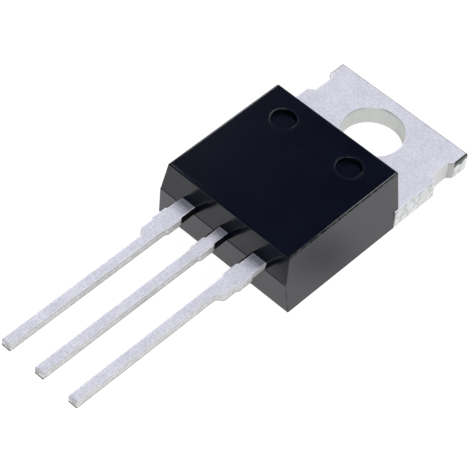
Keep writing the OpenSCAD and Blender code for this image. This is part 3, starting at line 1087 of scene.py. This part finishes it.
# painted highlight: near-white, nearly matte tin on the rolls that face the lamps
PAINTED_HIGHLIGHT = make_plating("painted_highlight_roll", (0.98, 0.97, 1.0), (0.88, 0.87, 0.90), metallic=0.1)
print("tin finishes", [m.name for m in (PLATING, SHADED, PAINTED_HIGHLIGHT)])

# %% [markdown]
# Each cut edge shows how it was made. The thin leads broke nearly all the way down, and a
# painted shadow darkens the bottom of their edge along the burr. The tab's flanks broke in
# cells. Its ears and its end were half cut and half torn, and a second punch trimmed the
# notches and pierced the hole cleanly. A tear over 1 makes the whole edge torn, and one below
# 0 makes it all cut.

# %% Finish: punched edges
TORN_METAL = ((0.76, 0.755, 0.74), (0.92, 0.915, 0.90))
BROKEN_METAL = ((0.88, 0.88, 0.87), (1.0, 1.0, 0.99))
FOLD_SHADE = (0.22, 0.225, 0.22)
CELLS_PER_MM = 1.3
# painted shadow along the burr at the bottom of a cut edge
BURR_SHADOW = (0.16, 0.16, 0.13)
BURR_BLUR = 0.05                       # height over which the burr's shade fades out
STREAK_RELIEF = 0.15                   # relief of the streaks beside that of the torn grain
ALL_TORN, ALL_CUT = 2.0, -1.0


def torn_colour(tree, spot, grain, torn, cells):
    """Two tones of broken metal, with folds between its cells if it has any."""
    colour = blend_colours(tree, ramp(tree, grain["Fine"], 0.35, 0.65), *torn)
    if cells:
        folds = use_group(tree, FOLDS, Vector=spot, Per_mm=CELLS_PER_MM)
        line = math_of(tree, "MULTIPLY", folds["Line"], cells)
        colour = blend_colours(tree, line, colour, FOLD_SHADE)
    return colour


def make_punched(name, bottom, thickness, tear, cut=(0.60, 0.61, 0.58), streak=0.9,
                 torn=TORN_METAL, cells=0.0, burr=0.0, image=0.0, lumps=0.012):
    """A cut edge. Below the tear, a share of the thickness, the metal broke and is lumpy.
    Above it the punch cut it and rubbed streaks into it, which darken the cut to a share.
    Cells is how dark the folds are, burr the share of the height that a painted shadow along
    the burr darkens, image how much the mirror image in the black gloss is dimmed, and lumps are in mm."""
    material, tree, shader, spot = new_finish(name, Metallic=0.6)
    bands = use_group(tree, PUNCHED, Vector=spot, Bottom=bottom, Thickness=thickness, Tear=tear)
    grain = use_group(tree, GRAIN, Vector=spot, Fine_per_mm=4.0, Cloud_per_mm=1.6)
    streaked = tuple(streak * c for c in cut)
    smooth = blend_colours(tree, ramp(tree, bands["Streaks"], *MIDDLE_GRAIN), streaked, cut)
    colour = blend_colours(tree, bands["Torn"], smooth, torn_colour(tree, spot, grain, torn, cells))
    # painted shadow: the bottom of the edge is darkened along the burr
    if burr:
        low = ramp(tree, bands["Height"], burr, burr + BURR_BLUR, 1.0, 0.0)
        colour = blend_colours(tree, low, colour, BURR_SHADOW)
    if image:
        colour = dim_image(tree, colour, image)
    tree.links.new(colour, shader.inputs["Base Color"])
    tree.links.new(ramp(tree, bands["Torn"], 0, 1, 0.34, 0.6), shader.inputs["Roughness"])
    relief = math_of(tree, "ADD", math_of(tree, "MULTIPLY", bands["Streaks"], STREAK_RELIEF),
                     math_of(tree, "MULTIPLY", grain["Fine"], bands["Torn"]))
    bump(tree, shader, relief, strength=0.6, depth=lumps)
    return material


LEAD_EDGE = make_punched("punched_lead_edge", parting_z, lead_t, ALL_TORN, burr=0.1, image=1.0,
                         lumps=0.004)
TIP_FACE = make_punched("sheared_tip", parting_z, lead_t, ALL_TORN, burr=0.26, lumps=0.01,
                        torn=((0.56, 0.56, 0.54), (0.90, 0.90, 0.88)))
FLANK_EDGE = make_punched("broken_flank", 0.0, tab_t, ALL_TORN, torn=BROKEN_METAL, cells=0.25,
                          lumps=0.015)
WAIST_EDGE = make_punched("notched_waist", 0.0, tab_t, ALL_CUT, cut=(0.76, 0.76, 0.74), streak=0.97)
STEP_EDGE = make_punched("notch_step", 0.0, tab_t, ALL_CUT, cut=(0.54, 0.54, 0.53), streak=0.92)
# painted shade: the upper, cut band of the ears is nearly black
EAR_EDGE_DARK_BAND = make_punched("ear_edge_painted_shade", 0.0, tab_t, 0.68, cut=(0.10, 0.105, 0.10),
                        torn=BROKEN_METAL, cells=0.25, lumps=0.015)
END_EDGE = make_punched("sheared_end", 0.0, tab_t, 0.55, cut=(0.52, 0.52, 0.51), streak=0.88,
                        torn=((0.70, 0.70, 0.69), (0.86, 0.86, 0.85)), cells=0.08, lumps=0.006)
HOLE_EDGE = make_punched("pierced_hole_wall", 0.0, tab_t, ALL_CUT, cut=(0.71, 0.72, 0.69), streak=0.97)
print("edge finishes", [m.name for m in (LEAD_EDGE, TIP_FACE, FLANK_EDGE, WAIST_EDGE, STEP_EDGE,
                                         EAR_EDGE_DARK_BAND, END_EDGE, HOLE_EDGE)])

# %% [markdown]
# The silicon, the solder and the wires are sealed in and show only when the model is taken
# apart. Polished silicon is a dark, glassy half-metal with a high index of refraction.
# Solder froze dull and grainy, and drawn wire has a finer grain and more shine, so these
# two are one function with other values.

# %% Finish: sealed pieces


def make_silicon():
    """Polished silicon with a faint cloudiness."""
    material, tree, shader, spot = new_finish("polished_silicon", Metallic=0.35, IOR=3.4)
    grain = use_group(tree, GRAIN, Vector=spot, Fine_per_mm=20.0, Cloud_per_mm=0.9)
    tree.links.new(blend_colours(tree, grain["Cloud"], (0.16, 0.17, 0.21), (0.24, 0.25, 0.30)),
                   shader.inputs["Base Color"])
    tree.links.new(ramp(tree, grain["Fine"], *MIDDLE_GRAIN, 0.12, 0.2), shader.inputs["Roughness"])
    return material


def make_dull_metal(name, light, deep, rough, fine):
    """Bare metal with a grain, and clouds in its roughness."""
    material, tree, shader, spot = new_finish(name, Metallic=1.0)
    grain = use_group(tree, GRAIN, Vector=spot, Fine_per_mm=fine, Cloud_per_mm=2.0)
    tree.links.new(blend_colours(tree, ramp(tree, grain["Fine"], *MIDDLE_GRAIN), deep, light),
                   shader.inputs["Base Color"])
    tree.links.new(ramp(tree, grain["Cloud"], *MIDDLE_GRAIN, rough, rough + 0.15),
                   shader.inputs["Roughness"])
    bump(tree, shader, grain["Fine"], strength=0.4, depth=0.004)
    return material


SILICON = make_silicon()
SOLDER = make_dull_metal("frozen_solder", (0.60, 0.60, 0.58), (0.45, 0.45, 0.44), 0.45, 8.0)
WIRE = make_dull_metal("drawn_wire", (0.86, 0.86, 0.87), (0.76, 0.76, 0.78), 0.25, 18.0)
print("finishes of the sealed pieces", [m.name for m in (SILICON, SOLDER, WIRE)])

# %% [markdown]
# ## Painting the pieces
# One piece has several finishes: plated faces, rolled edges, and edges that were cut, torn
# or trimmed. Each face of the mesh gets its own by its normal and its place, as a hand
# would select faces and assign a slot. It happens while the pieces are still measured in
# millimetres. The rounds are then shaded smooth and the large faces are kept flat: normals
# that are weighted by the area of the faces keep a round from bending the light on a flat.

# %% Helpers for painting
SMOOTH_TURN = math.radians(30)         # faces that meet at less are shaded as one


def paint(obj, finishes, which):
    """Gives an object its finishes. which() picks the finish of one face."""
    obj.data.materials.clear()
    for finish in finishes:
        obj.data.materials.append(finish)
    slot_of = {finish.name: slot for slot, finish in enumerate(finishes)}
    for face in obj.data.polygons:
        face.material_index = slot_of[which(face).name]
    used = {face.material_index for face in obj.data.polygons}
    print(obj.name, "uses", len(used), "of", len(finishes), "finishes")


def shade(obj):
    """Smooth shading over the rounds, with the large faces left flat."""
    take(obj)
    bpy.ops.object.shade_smooth_by_angle(angle=SMOOTH_TURN)
    apply_modifier(obj, "WEIGHTED_NORMAL", mode="FACE_AREA", weight=100, keep_sharp=True)
    settle()


# %% [markdown]
# A lead has four finishes. The faces of the strip look up or down. The rolls that look to
# the right or to the front carry a painted highlight, the face at the tip is sheared, and all
# other faces are cut edges.

# %% Paint the leads
STRIP_FACE = 0.75                      # a face that looks further up or down is a strip's face
HIGHLIGHT_RISE = (0.35, 0.98)               # how far up a roll with the painted highlight looks
HIGHLIGHT_TURN = 0.2                   # and how far to the right or to the front
TIP_TURN, TIP_ZONE = 0.5, 0.1          # how far the sheared face looks forwards, and its depth


def lead_finish(face):
    """The finish of a face of a lead."""
    n = face.normal
    # painted highlight on the rolls that look to the right or to the front
    turned = n.x > HIGHLIGHT_TURN or n.y < -HIGHLIGHT_TURN
    if turned and HIGHLIGHT_RISE[0] < n.z < HIGHLIGHT_RISE[1]:
        return PAINTED_HIGHLIGHT
    if abs(n.z) > STRIP_FACE:
        return PLATING
    at_tip = n.y < -TIP_TURN and face.center.y < tip_y + TIP_ZONE
    return TIP_FACE if at_tip else LEAD_EDGE


LEAD_FINISHES = [PLATING, LEAD_EDGE, TIP_FACE, PAINTED_HIGHLIGHT]
for lead in (cathode, gate):
    paint(lead, LEAD_FINISHES, lead_finish)

# %% [markdown]
# The tab's outline changes its finish from stretch to stretch: the flank near the moulding
# is broken, the notch has a steep step and a clean waist, and the ears and the end are half
# cut, half torn, with a nearly black cut band on the ears that is a painted shade. The rolls
# of the waist and of the hole's right half carry a painted highlight, and the roll of the
# left ear a painted shade.

# %% Paint the tab
TAB_FACE = 0.93                        # the tab's faces look further up or down than this
ROLLED = 0.3                           # a face that looks further up is part of a roll
SHADED_ROLL = 0.998                    # a shaded roll reaches nearly to the flat face
LEFT_TURN, FRONT_TURN = 0.05, 0.1      # how a shaded roll looks: left, and hardly to the front
END_TURN, STEP_TURN = 0.5, 0.3         # how far the end and the notch's step look along Y
RIM_ZONE = 0.08                        # the hole's wall and its roll are nearer than this
MARGIN = 0.05                          # reach of a stretch past its corner
LEAD_ZONE = 0.1                        # the middle lead lies further above the tab than this


def is_shaded(n, spot):
    """True on the roll of the left ear."""
    looks_left = n.x < -LEFT_TURN and n.y > -FRONT_TURN
    return looks_left and ROLLED < n.z < SHADED_ROLL and spot.y > ear_y - MARGIN


def tab_finish(face):
    """The finish of a face of the tab or of the middle lead."""
    n, spot = face.normal, face.center
    if spot.z > tab_t + LEAD_ZONE or spot.y < shoulder_y - SLIVER:
        return lead_finish(face)
    # painted shade on the roll of the left ear
    if is_shaded(n, spot):
        return SHADED
    if abs(n.z) > TAB_FACE:
        return PLATING
    if from_hole(spot) < RIM_ZONE:
        # painted highlight on the roll of the hole's right half
        return PAINTED_HIGHLIGHT if n.z > ROLLED and spot.x > 0 else HOLE_EDGE
    if spot.y > ear_y - MARGIN:
        # the ears and the roll of the end get the nearly black band, a painted shade
        return END_EDGE if n.y > END_TURN and n.z < ROLLED else EAR_EDGE_DARK_BAND
    if spot.y < waist_y + MARGIN:
        return FLANK_EDGE
    if n.y < -STEP_TURN:
        return STEP_EDGE
    # painted highlight on the roll of the waist
    return PAINTED_HIGHLIGHT if n.z > ROLLED else WAIST_EDGE


TAB_FINISHES = LEAD_FINISHES + [FLANK_EDGE, WAIST_EDGE, EAR_EDGE_DARK_BAND, HOLE_EDGE, SHADED, END_EDGE,
                                STEP_EDGE]
paint(tab, TAB_FINISHES, tab_finish)

# %% [markdown]
# On the moulding, all large faces are plain resin. Of the rounds between them, those on the
# right are rubbed grey, which is wear and also a painted highlight on the lit side, the one
# along the front is a little paler than the top, and the far ones are dull. Inside a mark the
# lip is a little paler than the top, the wall is dull, and the floor is plain again. The thin
# skins between the leads get the dull, near-black wall finish, which paints the shade beside
# the necks.

# %% Paint the moulding
WALL_R = 0.755                         # between a mark's lip and its wall
LIP_AREA = 0.05                        # faces of a lip or a wall are smaller than this
FLAT_AREA = 2.5                        # larger faces are flat, whichever way they look
FLAT_TURN = 0.975                      # so are faces that look this far along an axis
REAR_RISE = 0.15                       # and the rear's faces that look up less than this
RIM_RISE, FRONT_RISE = 0.1, 0.2        # rims look further up than this: far ones, front ones
FAR_TURN = 0.1                         # far rims look to the back or to the left
SKIN_ZONE = 0.05                       # skins stand out further than this before the front


def from_mark(spot):
    """How far a spot is from the axis of the nearer ejector mark."""
    return min(math.hypot(spot.x - side * MARK_SPACING / 2, spot.y - back_y + MARK_INSET)
               for side in (-1, 1))


def mark_finish(face):
    """The finish of a face of an ejector mark, or None for a face outside the marks."""
    out = from_mark(face.center)
    if face.center.z < crown_z - MARK_DEPTH - SLIVER or out > MARK_PROFILE[0][0] + SLIVER:
        return None
    if out < CENTRE_ZONE:
        return RESIN
    if face.area > LIP_AREA:
        return None
    return RIM if out > WALL_R else DULL_WALL_AND_SKIN_SHADE


def resin_finish(face):
    """The finish of a face of the moulding."""
    n, spot = face.normal, face.center
    mark = mark_finish(face)
    if mark is not None:
        return mark
    # painted shade: the skins beside the necks get the near-black dull finish
    if spot.y < front_y - SKIN_ZONE:
        return DULL_WALL_AND_SKIN_SHADE
    flat = max(abs(n.x), abs(n.y), abs(n.z)) > FLAT_TURN or face.area > FLAT_AREA
    if flat or (spot.y > shoulder_y and abs(n.z) < REAR_RISE):
        return RESIN
    if n.z > RIM_RISE and (n.y > FAR_TURN or n.x < -FAR_TURN):
        return DULL_RIM
    # the rounds on the right get the rubbed grey: wear and a painted highlight
    return RIM if n.z > FRONT_RISE and abs(n.y) > abs(n.x) else RUBBED_HIGHLIGHT_EDGE


paint(moulding, [RESIN, RUBBED_HIGHLIGHT_EDGE, RIM, DULL_WALL_AND_SKIN_SHADE, DULL_RIM], resin_finish)

# %% [markdown]
# Now the new pieces are shrunk to metres and shaded. The sealed pieces keep their CAD
# shapes and only get their finishes.

# %% Shrink, shade, and paint the sealed pieces
for piece in (moulding, cathode, gate, tab):
    rescale(piece, MM)
    shade(piece)
    print(piece.name, [f"{side / MM:.2f} mm" for side in piece.dimensions])
for node, finish in (("silicon_die", SILICON), ("die_solder", SOLDER), ("cathode_wires", WIRE),
                     ("gate_wire", WIRE)):
    data = frame["nodes"][node].data
    data.materials.clear()
    data.materials.append(finish)

# %% [markdown]
# Each new piece rides on the part's only body and stands for the CAD piece of the same
# place, which stays in the physics model.

# %% Ride on the frame
for piece, node, slot in ((moulding, "mould_body", "moulding"), (tab, "anode_tab", "tinned_copper"),
                          (cathode, "cathode_lead", "tinned_copper"), (gate, "gate_lead", "tinned_copper")):
    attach(piece, "root")
    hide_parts(node)

# %% [markdown]
# ## The studio
# The part lies on a wide white table. A board that is white by light alone would need so
# much that the part would burn out, so what a ray sees depends on the ray. Shaders are
# mixed for that just as colours are: one shader is added to another to give it a glow, and
# a share from 0 to 1 picks one shader or the other.

# %% Helpers for the table's shader


def board(tree, share):
    """Matte board that reflects a share of the light."""
    return add(tree, "BsdfDiffuse", Color=(share, share, share, 1)).outputs[0]


def glowing_board(tree, strength, share):
    """The same board with a glow of its own."""
    glow = add(tree, "Emission", Strength=strength).outputs[0]
    both = add(tree, "AddShader")
    for socket, shader in zip(both.inputs, (glow, board(tree, share))):
        tree.links.new(shader, socket)
    return both.outputs[0]


def either(tree, share, a, b):
    """Mixes two shaders by a share."""
    mix = add(tree, "MixShader")
    for socket, value in zip(mix.inputs, (share, a, b)):
        tree.links.new(value, socket)
    return mix.outputs[0]


# %% [markdown]
# Rays from the camera see the table as plain white with only a trace of the part's shadow.
# Rays that bounce off gloss or pass through glass see it a little dimmer, with a few soft
# dark patches in front of the part, which keep the moulding's slope from mirroring an even
# white. All other light meets ordinary pale matte board. Seen from below, the table is
# clear, so that the part's underside can be looked at.
# The renderer also treats a glowing surface as a lamp. It would send many samples to this
# huge one and leave sparkles. With emission sampling off, the table looks just as bright
# and the sparkles are gone.

# %% Table
TABLE_R, TABLE_SIDES = 3.0, 96
TABLE_Z = -0.00002                     # a hair below the part's back
MATTE = 0.8                            # the board as all other light meets it
GLOW, TRACE = 0.96, 0.14               # as the camera sees it: plain white, a trace of shadow
MIRRORED_GLOW, MIRRORED_TRACE = 0.72, 0.42
SHADES = [                             # place, reach and darkness of the soft dark patches, in mm
    ((6.7, -8.1, 0), 3.2, 0.47), ((2.0, -18.4, 0), 2.6, 0.9), ((-0.4, -18.9, 0), 1.6, 0.8)]


def mirrored_glow(tree):
    """The table's glow as gloss sees it, dimmed by the dark patches."""
    place = add(tree, "TexCoord")
    glow = MIRRORED_GLOW
    for centre, reach, darkness in SHADES:
        away = add(tree, "VectorMath", operation="DISTANCE")
        tree.links.new(place.outputs["Object"], away.inputs[0])
        away.inputs[1].default_value = [c * MM for c in centre]
        patch = ramp(tree, away.outputs["Value"], 0, reach * MM, 1 - darkness, 1.0)
        glow = math_of(tree, "MULTIPLY", patch, glow)
    return glow


def make_white_board():
    """Matte board to plain light, white to the camera and to gloss, and clear from below."""
    material = bpy.data.materials.new("white_board")
    material.use_nodes = True
    material.cycles.emission_sampling = "NONE"
    tree = material.node_tree
    tree.nodes.clear()
    path = add(tree, "LightPath").outputs
    below = add(tree, "NewGeometry").outputs["Backfacing"]
    mirrored = math_of(tree, "MAXIMUM", path["Is Glossy Ray"], path["Is Transmission Ray"])
    in_gloss = glowing_board(tree, mirrored_glow(tree), MIRRORED_TRACE)
    seen = either(tree, mirrored, board(tree, MATTE), in_gloss)
    clear = add(tree, "BsdfTransparent").outputs[0]
    by_camera = either(tree, below, glowing_board(tree, GLOW, TRACE), clear)
    add(tree, "OutputMaterial", Surface=either(tree, path["Is Camera Ray"], seen, by_camera))
    return material


settle()
bpy.ops.mesh.primitive_circle_add(vertices=TABLE_SIDES, radius=TABLE_R, fill_type="NGON",
                                  location=(0, 0, TABLE_Z))
table = bpy.context.object
table.name = "table"
bpy.ops.object.transform_apply(location=True, rotation=True, scale=True)
table.data.materials.append(make_white_board())
print("table", [f"{side:.1f} m" for side in table.dimensions])

# %% [markdown]
# Black gloss shows whatever stands round it. The room is dim, except for a white wall
# behind the part. The wall ends just below the direction that the flat top mirrors: the
# glossy resin shows the dark above the wall, while the matte metal, which gathers light
# from a wide cone, is lit by the wall. A modelled room would do, but a world that reads
# the direction of a ray costs nothing. The camera itself sees plain white everywhere.

# %% Room
ROOM_DIM = (0.02, 0.03, 0.06)
WHITE = (1, 1, 1)
WALL_WAY = (-0.45, 0.89)               # from the part to the wall's middle, seen from above
WALL_TOP = (0.25, 0.6)                 # sine of the height where the wall fades out
WALL_SIDE = (0.15, 0.45)               # and how it fades out towards its ends


def make_room():
    """A world that is dim except for the wall, and white to the camera."""
    world = bpy.data.worlds.new("room")
    bpy.context.scene.world = world
    world.use_nodes = True
    tree = world.node_tree
    place = add(tree, "TexCoord")
    x, y, z = add(tree, "SeparateXYZ", Vector=place.outputs["Generated"]).outputs
    behind = math_of(tree, "ADD", math_of(tree, "MULTIPLY", x, WALL_WAY[0]),
                     math_of(tree, "MULTIPLY", y, WALL_WAY[1]))
    wall = math_of(tree, "MULTIPLY", ramp(tree, z, *WALL_TOP, 1.0, 0.0), ramp(tree, behind, *WALL_SIDE))
    path = add(tree, "LightPath")
    share = math_of(tree, "MAXIMUM", wall, path.outputs["Is Camera Ray"])
    tree.links.new(blend_colours(tree, share, ROOM_DIM, WHITE), tree.nodes["Background"].inputs["Color"])


make_room()
print("world", bpy.context.scene.world.name)

# %% [markdown]
# Three large soft lamps stand well away from the direction that the flat top mirrors: the
# key high behind the part, one to the left, and a fill in front on the right, which lights
# the moulding's slope and the cut edges. Area lamps give the soft shadow of a light box.
# The plain Standard view shows colours about as they are written.

# %% Lamps and view
LAMPS = [                              # name, place and size in metres, power in watts
    ("soft_key", (0.035, 0.35, 0.60), (0.28, 0.28), 1.55),
    ("soft_left", (-0.505, 0.295, 0.38), (0.30, 0.30), 1.5),
    ("soft_fill", (0.36, -0.34, 0.46), (0.4, 0.3), 1.8)]


def make_lamp(name, place, size, power):
    """Hangs a rectangular lamp that looks at the origin."""
    lamp = bpy.data.lights.new(name, "AREA")
    lamp.shape = "RECTANGLE"
    lamp.size, lamp.size_y = size
    lamp.energy = power
    obj = bpy.data.objects.new(name, lamp)
    obj.location = place
    obj.rotation_euler = (-Vector(place)).to_track_quat("-Z", "Y").to_euler()
    bpy.context.scene.collection.objects.link(obj)


for lamp in LAMPS:
    make_lamp(*lamp)
bpy.context.scene.view_settings.view_transform = "Standard"
